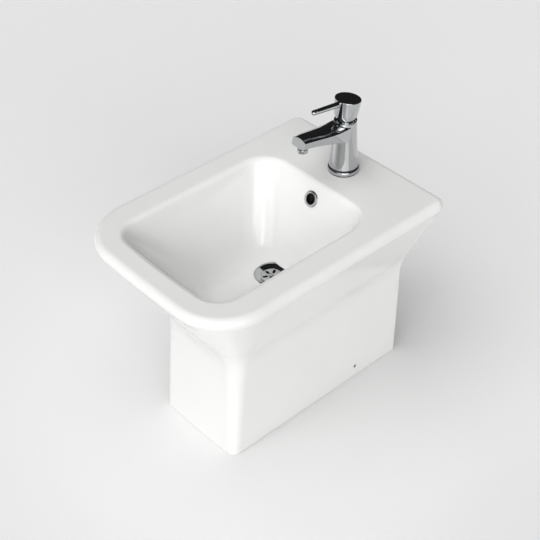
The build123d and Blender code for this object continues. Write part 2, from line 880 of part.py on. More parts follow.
with BuildPart() as cartridge_housing:
    post(housing_foot, housing_top, housing_radius, tap_at)
    post(nut_seat, nut_foot, nut_chamber_radius - slip_fit, tap_at)
    post(housing_floor, rotor_top + moving_gap, housing_inside, tap_at, Mode.SUBTRACT)
    post(rotor_top, housing_top, cheek_radius + cartridge_wall, tap_at, Mode.SUBTRACT)
    for inlet in inlets:
        post(housing_foot, housing_floor, port_radius, inlet, Mode.SUBTRACT)
    bar(upright(tap_y, rim_height + waterway_rise), 0, chamber_radius, waterway_radius, Mode.SUBTRACT)

with BuildPart() as fixed_disc:
    post(fixed_disc_under, disc_face, housing_inside - slip_fit, tap_at)
    for slot in inlet_slots:
        post(fixed_disc_under, disc_face, inlet_slot_radius, slot, Mode.SUBTRACT)
    post(fixed_disc_under, disc_face, outlet_slot_radius, outlet_slot, Mode.SUBTRACT)

with BuildPart() as moving_disc:
    post(disc_face, disc_top, disc_radius, (0, tap_y + disc_setback))
    post(disc_face, disc_face + disc_thickness / 2, disc_radius / 2, (0, tap_y - disc_setback), Mode.SUBTRACT)

with BuildPart() as disc_carrier:
    post(disc_top, carrier_top, disc_radius, (0, tap_y + disc_setback))
    post(disc_top, carrier_top, stem_ball_radius + moving_gap, (0, ball_y), Mode.SUBTRACT)

cheek_inside = stem_side / 2 + moving_gap
cheek_top = pivot_z + cheek_height
pin_plane = Plane(origin=(0, tap_y, pivot_z), x_dir=(0, 1, 0), z_dir=(1, 0, 0))

with BuildPart() as cartridge_rotor:
    post(rotor_under, cheek_top, cheek_radius, tap_at)
    post(rotor_under, rotor_top, housing_inside - moving_gap, tap_at)
    with BuildSketch(Plane.XY.offset(rotor_under)):
        with Locations((0, tap_y + (rotor_slot_rear - rotor_slot_front) / 2)):
            Rectangle(2 * cheek_inside, rotor_slot_rear + rotor_slot_front)
    extrude(amount=rotor_thickness, mode=Mode.SUBTRACT)
    with BuildSketch(Plane.XY.offset(rotor_top)):
        with Locations(tap_at):
            Rectangle(2 * cheek_inside, 2 * cheek_radius)
    extrude(amount=cheek_top - rotor_top, mode=Mode.SUBTRACT)
    bar(pin_plane, -cheek_radius, cheek_radius, pin_radius, Mode.SUBTRACT)

with BuildPart() as stem_pin:
    bar(pin_plane, -pin_length / 2, pin_length / 2, pin_radius)

with BuildPart() as cartridge_nut:
    ring(nut_foot, body_shoulder, nut_chamber_radius - thread_fit, housing_radius + slip_fit, tap_at)
    with BuildSketch(Plane.XY.offset(body_shoulder)):
        with Locations(tap_at):
            with PolarLocations(nut_chamber_radius, 4):
                Rectangle(2 * cartridge_wall, 2 * cartridge_wall)
    extrude(amount=-2 * cartridge_wall, mode=Mode.SUBTRACT)

dome_foot = body_shoulder + dome_rim_thickness

with BuildPart() as tap_dome:
    with Locations((0, tap_y, pivot_z)):
        Sphere(dome_radius)
        Sphere(dome_radius - dome_wall, mode=Mode.SUBTRACT)
    split(bisect_by=Plane.XY.offset(body_shoulder), keep=Keep.TOP)
    split(bisect_by=Plane.XY.offset(pivot_z + dome_top), keep=Keep.BOTTOM)
    post(body_shoulder, dome_foot, dome_rim_radius, tap_at)
    post(body_shoulder, pivot_z, housing_radius + slip_fit, tap_at, Mode.SUBTRACT)


# ---- Handle, on an axis that leans back ----
handle_plane = Plane(origin=(0, tap_y, pivot_z), x_dir=(1, 0, 0), z_dir=(0, -cos(lean), sin(lean)))
handle_axis = handle_plane.y_dir
handle_centre = handle_plane.origin
roof_under = handle_top - handle_roof
lever_at = handle_top - lever_drop
grub_at = handle_top - grub_drop
lever_plane = Plane(origin=handle_centre + handle_axis * lever_at, x_dir=(1, 0, 0), z_dir=handle_plane.z_dir)
grub_plane = Plane(origin=handle_centre + handle_axis * grub_at, x_dir=(1, 0, 0), z_dir=-handle_plane.z_dir)
stem_face = stem_side / 2
socket_side = stem_side + 2 * thread_fit


def along_handle(height):
    """The plane square to the handle's axis, at a height above the pivot"""
    return Plane(origin=handle_centre + handle_axis * height, x_dir=(1, 0, 0), z_dir=handle_axis)


with BuildPart() as handle_head:
    turned(
        [
            (0, -handle_skirt),
            (handle_foot_radius, -handle_skirt),
            (handle_top_radius, handle_top),
            (0, handle_top),
        ],
        handle_plane,
    )
    fillet(handle_head.edges().group_by(Axis((0, 0, 0), handle_axis))[-1], handle_edge_radius)
    turned(
        [
            (0, -handle_skirt - overrun),
            (handle_foot_radius - handle_wall, -handle_skirt - overrun),
            (handle_foot_radius - handle_wall, -handle_skirt),
            (handle_top_radius - handle_wall, roof_under),
            (0, roof_under),
        ],
        handle_plane,
        Mode.SUBTRACT,
    )
    bar(along_handle(0), socket_height, roof_under, socket_radius)
    bar(lever_plane, 0, handle_foot_radius, lever_pad_radius)
    bar(grub_plane, 0, handle_foot_radius, grub_pad_radius)
    with BuildSketch(along_handle(socket_height - lever_pad_radius)):
        Rectangle(socket_side, socket_side)
    extrude(amount=stem_height + thread_fit - socket_height + lever_pad_radius, mode=Mode.SUBTRACT)
    bar(lever_plane, lever_spigot_end, handle_top_radius, lever_spigot_radius + thread_fit, Mode.SUBTRACT)
    bar(lever_plane, lever_seat, handle_top_radius + overrun, lever_radius + thread_fit, Mode.SUBTRACT)
    bar(grub_plane, 0, handle_top_radius, grub_radius + thread_fit, Mode.SUBTRACT)
    bar(grub_plane, plug_face - plug_thickness, handle_top_radius, plug_radius + thread_fit, Mode.SUBTRACT)

with BuildPart() as lever_stem:
    with BuildSketch(along_handle(-stem_foot)):
        Rectangle(stem_side, stem_side)
    extrude(amount=stem_foot + stem_height)
    bar(along_handle(0), -stem_arm, -stem_foot, stem_neck_radius)
    knee(handle_centre - handle_axis * stem_arm, stem_ball_radius)
    bar(pin_plane, -stem_side, stem_side, pin_radius + hinge_fit, Mode.SUBTRACT)

with BuildPart() as lever_rod:
    groove_at = lever_reach - lever_groove
    groove_radius = lever_tip_radius - lever_groove_depth
    with BuildSketch(Plane(origin=lever_plane.origin, x_dir=(1, 0, 0), z_dir=-handle_axis)):
        with BuildLine():
            Polyline(
                (0, lever_spigot_end),
                (lever_spigot_radius, lever_spigot_end),
                (lever_spigot_radius, lever_seat),
                (lever_radius, lever_seat),
                (lever_tip_radius, groove_at - lever_groove_width),
                (groove_radius, groove_at - lever_groove_width),
                (groove_radius, groove_at),
                (lever_tip_radius, groove_at),
                (lever_tip_radius, lever_reach - lever_tip_radius),
            )
            RadiusArc((lever_tip_radius, lever_reach - lever_tip_radius), (0, lever_reach), -lever_tip_radius)
            Line((0, lever_reach), (0, lever_spigot_end))
        make_face()
    revolve(axis=Axis(lever_plane.origin, lever_plane.z_dir))

with BuildPart() as grub_screw:
    grub_end = stem_face + grub_length
    bar(grub_plane, stem_face, grub_end, grub_radius)
    with BuildSketch(grub_plane.offset(grub_end)):
        RegularPolygon(grub_socket / 2, 6, major_radius=False)
    extrude(amount=-grub_length / 3, mode=Mode.SUBTRACT)

with BuildPart() as handle_plug:
    bar(grub_plane, plug_face - plug_thickness, plug_face, plug_radius)
    fillet(handle_plug.edges().group_by(Axis((0, 0, 0), grub_plane.z_dir))[-1], plug_thickness / 4)


# ---- Swivel aerator ----
ball_z = rim_height + ball_rise
socket_ball = ball_radius + moving_gap
ball_at = (0, aerator_y, ball_z)
seal_foot = bore_top - aerator_seal_thickness
seat_foot = seal_foot - seat_thickness
collar_foot = boss_under - collar_flange_thickness
nozzle_top = ball_z - nozzle_drop
nozzle_foot = nozzle_top - nozzle_height
insert_radius = nozzle_radius - nozzle_wall - hinge_fit

with BuildPart() as aerator_seal:
    ring(seal_foot, bore_top, aerator_throat - slip_fit, seat_bore, aerator_at)

with BuildPart() as aerator_seat:
    post(seat_foot, seal_foot, aerator_throat - moving_gap, aerator_at)
    post(seat_foot, seal_foot, seat_bore, aerator_at, Mode.SUBTRACT)
    knee(ball_at, socket_ball, Mode.SUBTRACT)

with BuildPart() as aerator_collar:
    post(boss_under, thread_top, aerator_bore - thread_fit, aerator_at)
    post(collar_foot, boss_under, collar_flange_radius, aerator_at)
    fillet(aerator_collar.edges().group_by(Axis.Z)[0], nozzle_edge_radius)
    knee(ball_at, socket_ball, Mode.SUBTRACT)

with BuildPart() as aerator_nozzle:
    post(nozzle_foot, nozzle_top, nozzle_radius, aerator_at)
    fillet(aerator_nozzle.edges(), nozzle_edge_radius)
    knee(ball_at, ball_radius)
    post(nozzle_top, ball_z, nozzle_neck, aerator_at)
    post(nozzle_top - nozzle_wall, ball_z + ball_radius, nozzle_bore, aerator_at, Mode.SUBTRACT)
    post(nozzle_foot, nozzle_top - nozzle_wall, nozzle_radius - nozzle_wall, aerator_at, Mode.SUBTRACT)

with BuildPart() as aerator_insert:
    insert_foot = nozzle_foot + insert_setback
    post(insert_foot, insert_foot + insert_thickness, insert_radius, aerator_at)
    with BuildSketch(Plane.XY.offset(insert_foot)):
        with Locations(aerator_at):
            with HexLocations(insert_hole_pitch / 2, 5, 5):
                Circle(insert_hole_radius)
    extrude(amount=insert_thickness, mode=Mode.SUBTRACT)


# ---- Floor fixing ----
tab_depth = china_wall + pad_thickness
tab_inside = tab_depth + bracket_thickness
tab_rise = (bracket_height - fixing_height) / cos(side_lean)
tab_fall = fixing_height / cos(side_lean)

with BuildPart() as floor_brackets:
    for side in (-1, 1):
        with BuildSketch(Plane(origin=(0, fixing_y, 0), x_dir=(side, 0, 0), z_dir=(0, -side, 0))) as profile:
            with BuildLine():
                tab_x = fixing_x - tab_depth / cos(side_lean)
                tab_foot = tab_x - tab_fall * sin(side_lean)
                tab_tip = tab_x + tab_rise * sin(side_lean)
                FilletPolyline(
                    (tab_foot - bracket_foot, 0),
                    (tab_foot, 0),
                    (tab_tip, bracket_height),
                    radius=bracket_bend_radius + bracket_thickness,
                )
                offset(amount=-bracket_thickness, side=Side.LEFT)
            make_face()
        extrude(profile.sketch, amount=bracket_width / 2, both=True)
        bar(side_plane(side, tab_inside), -bracket_nut_height, 0, bracket_nut_radius)
        nut_plane = side_plane(side, tab_inside + bracket_nut_height)
        thread_length = bracket_nut_height + bracket_thickness
        bar(nut_plane, 0, thread_length, fixing_screw_radius + thread_fit, Mode.SUBTRACT)
        with BuildSketch(Plane.XY) as slot:
            with Locations((side * (tab_foot - bracket_slot_inset), fixing_y)):
                SlotOverall(bracket_slot_length, bracket_slot_width)
        extrude(slot.sketch, amount=bracket_thickness, mode=Mode.SUBTRACT)

with BuildPart() as bracket_pads:
    for side in (-1, 1):
        with BuildSketch(side_plane(side, tab_depth)) as pad:
            Rectangle(bracket_width, bracket_width / 2)
            Circle(fixing_screw_radius + slip_fit, mode=Mode.SUBTRACT)
        extrude(pad.sketch, amount=pad_thickness)

with BuildPart() as fixing_screws:
    for side in (-1, 1):
        head_back = fixing_head_sink + fixing_head_height
        bar(side_plane(side, head_back), 0, fixing_head_height, fixing_head_radius)
        bar(side_plane(side, head_back), -fixing_screw_length, 0, fixing_screw_radius)
        with BuildSketch(side_plane(side, fixing_head_sink)) as key:
            RegularPolygon(fixing_key / 2, 6, major_radius=False)
        extrude(key.sketch, amount=-fixing_key_depth, mode=Mode.SUBTRACT)


# ---- One file for each piece ----
pieces = {
    "china_body": china_body,
    "overflow_ring": overflow_ring,
    "waste_flange_seal": waste_flange_seal,
    "waste_body": waste_body,
    "waste_grid": waste_grid,
    "waste_screw": waste_screw,
    "waste_washer": waste_washer,
    "waste_backnut": waste_backnut,
    "trap_inlet_nut": trap_inlet_nut,
    "trap_inlet_seal": trap_inlet_seal,
    "trap_inlet_tube": trap_inlet_tube,
    "trap_neck_nut": trap_neck_nut,
    "trap_neck_seal": trap_neck_seal,
    "trap_shell": trap_shell,
    "trap_cup_seal": trap_cup_seal,
    "trap_cup": trap_cup,
    "trap_outlet_nut": trap_outlet_nut,
    "trap_outlet_seal": trap_outlet_seal,
    "trap_outlet_pipe": trap_outlet_pipe,
    "tap_base_seal": tap_base_seal,
    "tap_base_ring": tap_base_ring,
    "tap_body_seal": tap_body_seal,
    "tap_body": tap_body,
    "tap_rubber_horseshoe": tap_rubber_horseshoe,
    "tap_plate_horseshoe": tap_plate_horseshoe,
    "tap_stud": tap_stud,
    "tap_fixing_nut": tap_fixing_nut,
    "hot_tail_pipe": hot_tail_pipe,
    "cold_tail_pipe": cold_tail_pipe,
    "cartridge_base_seal": cartridge_base_seal,
    "cartridge_housing": cartridge_housing,
    "cartridge_nut": cartridge_nut,
    "fixed_disc": fixed_disc,
    "moving_disc": moving_disc,
    "disc_carrier": disc_carrier,
    "cartridge_rotor": cartridge_rotor,
    "stem_pin": stem_pin,
    "lever_stem": lever_stem,
    "tap_dome": tap_dome,
    "handle_head": handle_head,
    "lever_rod": lever_rod,
    "grub_screw": grub_screw,
    "handle_plug": handle_plug,
    "aerator_seal": aerator_seal,
    "aerator_seat": aerator_seat,
    "aerator_collar": aerator_collar,
    "aerator_nozzle": aerator_nozzle,
    "aerator_insert": aerator_insert,
    "floor_brackets": floor_brackets,
    "bracket_pads": bracket_pads,
    "fixing_screws": fixing_screws,
}

os.makedirs("parts", exist_ok=True)
for name, piece in pieces.items():
    piece.part.label = name
    export_step(piece.part, f"parts/{name}.step")
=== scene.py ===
from math import radians

import bpy
from mathutils import Matrix, Vector

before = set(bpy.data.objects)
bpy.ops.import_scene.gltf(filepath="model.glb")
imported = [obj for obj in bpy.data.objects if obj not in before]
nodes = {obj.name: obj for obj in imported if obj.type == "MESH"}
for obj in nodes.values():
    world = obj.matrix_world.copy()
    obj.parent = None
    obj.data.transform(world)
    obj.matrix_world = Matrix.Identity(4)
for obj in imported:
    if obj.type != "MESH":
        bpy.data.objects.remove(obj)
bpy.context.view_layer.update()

bpy.ops.object.select_all(action="DESELECT")

# ---------------------------------------------------------------------------
# Studio: a camera on a stand in front and to the right, looking down into the
# bowl. The view is plain Standard, with no depth of field.
camera_data = bpy.data.cameras.new("studio_camera")
sensor_width_mm = 36
picture_width_px = 540
focal_length_px = 1215.92
camera_data.sensor_width = sensor_width_mm
camera_data.lens = focal_length_px * sensor_width_mm / picture_width_px
camera_data.clip_end = 200
camera = bpy.data.objects.new("studio_camera", camera_data)
bpy.context.collection.objects.link(camera)
camera_right = Vector((0.6753, 0.7375, 0.0))
camera_up = Vector((-0.4724, 0.4325, 0.7679))
camera_back = Vector((0.5664, -0.5187, 0.6405))
aside_mm, above_mm, distance_mm = 14.35, 215.59, 2237.41
camera_place = (aside_mm * camera_right + above_mm * camera_up + distance_mm * camera_back) / 1000
turn = Matrix((camera_right, camera_up, camera_back)).transposed().to_4x4()
camera.matrix_world = Matrix.Translation(camera_place) @ turn
bpy.context.scene.camera = camera
bpy.context.scene.view_settings.view_transform = "Standard"


# ---------------------------------------------------------------------------
# Studio light: broad, soft lamps. The main one stands at the right, lower than
# the rest, with one beside the camera, one high in front, one overhead and weak
# fill from the left and the back, in a dark room. Black flags keep all but the
# first two out of the chrome and the glaze.
def soft_lamp(name, towards, strength, width_degrees, in_mirrors=True):
    """A broad far lamp that shines from a direction, with soft edges to its shadows"""
    lamp_data = bpy.data.lights.new(name, "SUN")
    lamp_data.energy = strength
    lamp_data.angle = radians(width_degrees)
    lamp = bpy.data.objects.new(name, lamp_data)
    lamp.matrix_world = Vector(towards).to_track_quat("Z", "Y").to_matrix().to_4x4()
    lamp.visible_glossy = in_mirrors
    bpy.context.collection.objects.link(lamp)


soft_lamp("lamp_right", (1.0, -0.6, 0.3), 1.52, 50)
soft_lamp("lamp_beside_camera", (0.6, -1.0, 0.3), 0.72, 50)
soft_lamp("lamp_high_front", (0.0, -1.0, 1.0), 0.83, 50, in_mirrors=False)
soft_lamp("lamp_overhead", (0.0, -0.2, 1.0), 1.27, 60, in_mirrors=False)
soft_lamp("lamp_left", (-1.0, -0.2, 0.5), 0.47, 50, in_mirrors=False)
soft_lamp("lamp_back", (0.3, 1.0, 0.6), 0.07, 50, in_mirrors=False)


def add_node(tree, kind, settings=None, inputs=None):
    """One shader node, with its settings, and its inputs set or linked"""
    new = tree.nodes.new(kind)
    for name, value in (settings or {}).items():
        setattr(new, name, value)
    for name, value in (inputs or {}).items():
        socket = new.inputs[name]
        if isinstance(value, bpy.types.NodeSocket):
            tree.links.new(value, socket)
        else:
            socket.default_value = value
    return new


room = bpy.data.worlds.new("dim_studio_room")
bpy.context.scene.world = room
room.use_nodes = True
tree = room.node_tree
facing = add_node(tree, "ShaderNodeTexCoord")
sides = add_node(tree, "ShaderNodeSeparateXYZ", {}, {"Vector": facing.outputs["Generated"]})
nearness = add_node(tree, "ShaderNodeMapRange", {"interpolation_type": "SMOOTHSTEP"}, {
    "Value": sides.outputs["Y"], "From Min": 0.1, "From Max": -0.9, "To Min": 0.02, "To Max": 0.05})
tree.links.new(nearness.outputs["Result"], tree.nodes["Background"].inputs["Color"])
tree.nodes["Background"].inputs["Strength"].default_value = 1


# ---------------------------------------------------------------------------
# Floor: a plain sheet of pale grey studio paper, rolled out far past the bidet
# on every side. Paper is matt and shows only its faint fibre.
def linear(hex_colour):
    """An sRGB hex colour as linear light, with alpha"""
    values = [int(hex_colour[i:i + 2], 16) / 255 for i in (1, 3, 5)]
    return [v / 12.92 if v <= 0.04045 else ((v + 0.055) / 1.055) ** 2.4 for v in values] + [1]


def new_material(name):
    """An empty node material and its shader"""
    material = bpy.data.materials.new(name)
    material.use_nodes = True
    return material, material.node_tree, material.node_tree.nodes["Principled BSDF"]


floor_size, below_foot = 120, 0.0005
bpy.ops.mesh.primitive_grid_add(
    x_subdivisions=4, y_subdivisions=4, size=floor_size, location=(0, 0, -below_foot))
floor = bpy.context.object
floor.name = "studio_floor"

paper, tree, shader = new_material("matt_studio_paper")
where = add_node(tree, "ShaderNodeTexCoord")
fibre = add_node(tree, "ShaderNodeTexNoise", {}, {
    "Vector": where.outputs["Object"], "Scale": 180, "Detail": 2})
shade = add_node(tree, "ShaderNodeMix", {"data_type": "RGBA"}, {
    "Factor": fibre.outputs["Fac"], 6: linear("#F1F1F1"), 7: linear("#F4F4F4")})
tree.links.new(shade.outputs[2], shader.inputs["Base Color"])
shader.inputs["Roughness"].default_value = 1
shader.inputs["Specular IOR Level"].default_value = 0
floor.data.materials.append(paper)


# ---------------------------------------------------------------------------
# China: vitreous china, slip cast in a plaster mould, sprayed with white opaque
# glaze and fired. The glaze is glossy and lies over the slight waves of the cast;
# inside the pedestal, on the back to the wall and under the foot the biscuit is bare.
china_glaze, tree, shader = new_material("glazed_vitreous_china")
where = add_node(tree, "ShaderNodeTexCoord")
place = add_node(tree, "ShaderNodeSeparateXYZ", {}, {"Vector": where.outputs["Object"]})
sideways = add_node(tree, "ShaderNodeMath", {"operation": "ABSOLUTE"}, {0: place.outputs["X"]})
# Half a wall inside the outer form, whose side, front and rounded corners flare out above the waist
waist_height, flare_top = 0.212, 0.388
flare = add_node(tree, "ShaderNodeMapRange", {}, {
    "Value": place.outputs["Z"], "From Min": waist_height, "From Max": flare_top})
corner_x = add_node(tree, "ShaderNodeMapRange", {}, {
    "Value": flare.outputs["Result"], "To Min": 0.066, "To Max": 0.086})
corner_y = add_node(tree, "ShaderNodeMapRange", {}, {
    "Value": flare.outputs["Result"], "To Min": 0.117, "To Max": 0.161})
corner_radius = add_node(tree, "ShaderNodeMapRange", {}, {
    "Value": flare.outputs["Result"], "To Min": 0.0215, "To Max": 0.0895})
frontwards = add_node(tree, "ShaderNodeMath", {"operation": "MULTIPLY"}, {0: place.outputs["Y"], 1: -1.0})
past_x = add_node(tree, "ShaderNodeMath", {"operation": "SUBTRACT"}, {
    0: sideways.outputs["Value"], 1: corner_x.outputs["Result"]})
past_y = add_node(tree, "ShaderNodeMath", {"operation": "SUBTRACT"}, {
    0: frontwards.outputs["Value"], 1: corner_y.outputs["Result"]})
past_corner = add_node(tree, "ShaderNodeCombineXYZ", {}, {
    "X": past_x.outputs["Value"], "Y": past_y.outputs["Value"]})
outwards = add_node(tree, "ShaderNodeVectorMath", {"operation": "MAXIMUM"}, {
    0: past_corner.outputs["Vector"], 1: (0, 0, 0)})
distance = add_node(tree, "ShaderNodeVectorMath", {"operation": "LENGTH"}, {0: outwards.outputs["Vector"]})
within_form = add_node(tree, "ShaderNodeMath", {"operation": "SUBTRACT"}, {
    0: corner_radius.outputs["Result"], 1: distance.outputs["Value"]})
inside_deck = 0.3935
below_deck = add_node(tree, "ShaderNodeMath", {"operation": "SUBTRACT"}, {
    0: inside_deck, 1: place.outputs["Z"]})
hollow = add_node(tree, "ShaderNodeMath", {"operation": "MINIMUM"}, {
    0: within_form.outputs["Value"], 1: below_deck.outputs["Value"]})
# The same for the bowl, half a wall outside its surface
bowl_foot, rim_height = 0.258, 0.4
bowl_side = add_node(tree, "ShaderNodeMapRange", {}, {
    "Value": place.outputs["Z"], "From Min": bowl_foot, "From Max": rim_height,
    "To Min": 0.0675, "To Max": 0.133})
bowl_rear = add_node(tree, "ShaderNodeMapRange", {}, {
    "Value": place.outputs["Z"], "From Min": bowl_foot, "From Max": rim_height,
    "To Min": 0.0655, "To Max": 0.1325})
past_side = add_node(tree, "ShaderNodeMath", {"operation": "SUBTRACT"}, {
    0: sideways.outputs["Value"], 1: bowl_side.outputs["Result"]})
past_rear = add_node(tree, "ShaderNodeMath", {"operation": "SUBTRACT"}, {
    0: place.outputs["Y"], 1: bowl_rear.outputs["Result"]})
past_wall = add_node(tree, "ShaderNodeMath", {"operation": "MAXIMUM"}, {
    0: past_side.outputs["Value"], 1: past_rear.outputs["Value"]})
under_bowl = 0.2525
below_bowl = add_node(tree, "ShaderNodeMath", {"operation": "SUBTRACT"}, {
    0: under_bowl, 1: place.outputs["Z"]})
past_bowl = add_node(tree, "ShaderNodeMath", {"operation": "MAXIMUM"}, {
    0: past_wall.outputs["Value"], 1: below_bowl.outputs["Value"]})
unseen = add_node(tree, "ShaderNodeMath", {"operation": "MINIMUM"}, {
    0: hollow.outputs["Value"], 1: past_bowl.outputs["Value"]})
foot_face = 0.0006
under_foot = add_node(tree, "ShaderNodeMath", {"operation": "SUBTRACT"}, {
    0: foot_face, 1: place.outputs["Z"]})
bare = add_node(tree, "ShaderNodeMath", {"operation": "MAXIMUM"}, {
    0: unseen.outputs["Value"], 1: under_foot.outputs["Value"]})
# The spray thins out over about 1 mm at the edge of the bare biscuit
biscuit = add_node(tree, "ShaderNodeMapRange", {}, {
    "Value": bare.outputs["Value"], "From Min": -0.0003, "From Max": 0.0007})
# Slow waves of the cast wall, about 90 mm apart, and the fine peel of the sprayed glaze, about 5 mm
waves = add_node(tree, "ShaderNodeTexNoise", {}, {
    "Vector": where.outputs["Object"], "Scale": 11, "Detail": 1})
peel = add_node(tree, "ShaderNodeTexNoise", {}, {
    "Vector": where.outputs["Object"], "Scale": 200, "Detail": 2})
# Grain of the bare clay body, about 1.5 mm
grain = add_node(tree, "ShaderNodeTexNoise", {}, {
    "Vector": where.outputs["Object"], "Scale": 700, "Detail": 3})
glaze_tone = add_node(tree, "ShaderNodeMix", {"data_type": "RGBA"}, {
    "Factor": waves.outputs["Fac"], 6: linear("#EDEDEC"), 7: linear("#F1F1EF")})
clay_tone = add_node(tree, "ShaderNodeMix", {"data_type": "RGBA"}, {
    "Factor": grain.outputs["Fac"], 6: linear("#D6D0C4"), 7: linear("#E3DED4")})
# The overflow's bare duct, just behind the bowl's rear wall, is painted dark: painted shade for the hole, not
# a colour of the clay
duct_middle, duct_half_width = 0.0147, 0.0125
in_duct = add_node(tree, "ShaderNodeMath", {"operation": "COMPARE"}, {
    0: past_rear.outputs["Value"], 1: duct_middle, 2: duct_half_width})
duct_side = add_node(tree, "ShaderNodeMath", {"operation": "LESS_THAN"}, {
    0: sideways.outputs["Value"], 1: duct_half_width})
duct = add_node(tree, "ShaderNodeMath", {"operation": "MULTIPLY"}, {
    0: in_duct.outputs["Value"], 1: duct_side.outputs["Value"]})
# Painted shade: a dark colour in the duct stands for the shade inside the overflow hole
duct_painted_shade = add_node(tree, "ShaderNodeMix", {"data_type": "RGBA"}, {
    "Factor": duct.outputs["Value"], 6: clay_tone.outputs[2], 7: linear("#4A4640")})
tone = add_node(tree, "ShaderNodeMix", {"data_type": "RGBA"}, {
    "Factor": biscuit.outputs["Result"], 6: glaze_tone.outputs[2], 7: duct_painted_shade.outputs[2]})
tree.links.new(tone.outputs[2], shader.inputs["Base Color"])
gloss = add_node(tree, "ShaderNodeMapRange", {}, {
    "Value": peel.outputs["Fac"], "To Min": 0.05, "To Max": 0.11})
matt = add_node(tree, "ShaderNodeMix", {"data_type": "FLOAT"}, {
    0: biscuit.outputs["Result"], 2: gloss.outputs["Result"], 3: 0.85})
tree.links.new(matt.outputs[0], shader.inputs["Roughness"])
low_bump = add_node(tree, "ShaderNodeBump", {}, {
    "Height": waves.outputs["Fac"], "Distance": 0.0006, "Strength": 0.35})
peel_bump = add_node(tree, "ShaderNodeBump", {}, {
    "Height": peel.outputs["Fac"], "Distance": 0.00003, "Strength": 0.5,
    "Normal": low_bump.outputs["Normal"]})
grain_bump = add_node(tree, "ShaderNodeBump", {}, {
    "Height": grain.outputs["Fac"], "Distance": 0.0002, "Strength": biscuit.outputs["Result"],
    "Normal": peel_bump.outputs["Normal"]})
tree.links.new(grain_bump.outputs["Normal"], shader.inputs["Normal"])
shader.inputs["IOR"].default_value = 1.52


def dress(material, *names):
    """Gives CAD nodes their finish"""
    for name in names:
        data = nodes[name].data
        data.materials.clear()
        data.materials.append(material)


dress(china_glaze, "china_body")

# ---------------------------------------------------------------------------
# Chrome: brass castings and turnings, polished, nickel plated and flashed with
# bright chromium. It mirrors the room, over the slow waves that a polishing mop
# leaves and softened by fine wiping marks.
bright_chrome, tree, shader = new_material("bright_chromium_plate")
where = add_node(tree, "ShaderNodeTexCoord")
# Mop waves about 18 mm apart and a few hundredths deep, and wiping marks about 10 mm long
mopping = add_node(tree, "ShaderNodeTexNoise", {}, {
    "Vector": where.outputs["Object"], "Scale": 55, "Detail": 1})
wiping = add_node(tree, "ShaderNodeTexNoise", {}, {
    "Vector": where.outputs["Object"], "Scale": 100, "Detail": 4})
gloss = add_node(tree, "ShaderNodeMapRange", {}, {
    "Value": wiping.outputs["Fac"], "To Min": 0.02, "To Max": 0.1})
tree.links.new(gloss.outputs["Result"], shader.inputs["Roughness"])
# Polishing rounds every edge and corner by half a millimetre or so
eased = add_node(tree, "ShaderNodeBevel", {"samples": 6}, {"Radius": 0.0007})
ripple = add_node(tree, "ShaderNodeBump", {}, {
    "Height": mopping.outputs["Fac"], "Distance": 0.0004, "Strength": 0.5, "Normal": eased.outputs["Normal"]})
tree.links.new(ripple.outputs["Normal"], shader.inputs["Normal"])
shader.inputs["Base Color"].default_value = linear("#C2C4C6")
shader.inputs["Metallic"].default_value = 1
dress(
    bright_chrome, "overflow_ring", "waste_body", "waste_grid", "waste_screw", "tap_base_ring", "tap_body",
    "tap_dome", "handle_head", "lever_rod", "handle_plug", "aerator_collar", "aerator_nozzle",
)

# ---------------------------------------------------------------------------
# Seals: black EPDM rubber rings and pads, press moulded. Matt, a little worn
# grey where dust sits in the skin.
black_rubber, tree, shader = new_material("moulded_epdm_rubber")
where = add_node(tree, "ShaderNodeTexCoord")
bloom = add_node(tree, "ShaderNodeTexNoise", {}, {
    "Vector": where.outputs["Object"], "Scale": 120, "Detail": 4})
shade = add_node(tree, "ShaderNodeMix", {"data_type": "RGBA"}, {
    "Factor": bloom.outputs["Fac"], 6: linear("#141415"), 7: linear("#2A2A2B")})
tree.links.new(shade.outputs[2], shader.inputs["Base Color"])
dull = add_node(tree, "ShaderNodeMapRange", {}, {
    "Value": bloom.outputs["Fac"], "To Min": 0.55, "To Max": 0.8})
tree.links.new(dull.outputs["Result"], shader.inputs["Roughness"])
skin = add_node(tree, "ShaderNodeBump", {}, {
    "Height": bloom.outputs["Fac"], "Distance": 0.0002, "Strength": 0.4})
tree.links.new(skin.outputs["Normal"], shader.inputs["Normal"])
dress(
    black_rubber, "waste_flange_seal", "waste_washer", "trap_inlet_seal", "trap_neck_seal", "trap_cup_seal",
    "trap_outlet_seal", "tap_base_seal", "tap_body_seal", "tap_rubber_horseshoe", "cartridge_base_seal",
    "aerator_seal", "bracket_pads",
)

# ---------------------------------------------------------------------------
# Trap: white polypropylene, injection moulded. Satin, slightly waxy, with the
# faint flow clouds and the fine spark texture of its mould.
white_plastic, tree, shader = new_material("moulded_polypropylene")
where = add_node(tree, "ShaderNodeTexCoord")
clouds = add_node(tree, "ShaderNodeTexNoise", {}, {
    "Vector": where.outputs["Object"], "Scale": 40, "Detail": 2})
spark = add_node(tree, "ShaderNodeTexNoise", {}, {
    "Vector": where.outputs["Object"], "Scale": 1500, "Detail": 1})
shade = add_node(tree, "ShaderNodeMix", {"data_type": "RGBA"}, {
    "Factor": clouds.outputs["Fac"], 6: linear("#DFDFD9"), 7: linear("#E9E9E4")})
tree.links.new(shade.outputs[2], shader.inputs["Base Color"])
satin = add_node(tree, "ShaderNodeMapRange", {}, {
    "Value": clouds.outputs["Fac"], "To Min": 0.32, "To Max": 0.45})
tree.links.new(satin.outputs["Result"], shader.inputs["Roughness"])
texture = add_node(tree, "ShaderNodeBump", {}, {
    "Height": spark.outputs["Fac"], "Distance": 0.00004, "Strength": 0.5})
tree.links.new(texture.outputs["Normal"], shader.inputs["Normal"])
shader.inputs["IOR"].default_value = 1.49
dress(
    white_plastic, "trap_inlet_nut", "trap_inlet_tube", "trap_neck_nut", "trap_shell", "trap_cup",
    "trap_outlet_nut", "trap_outlet_pipe",
)

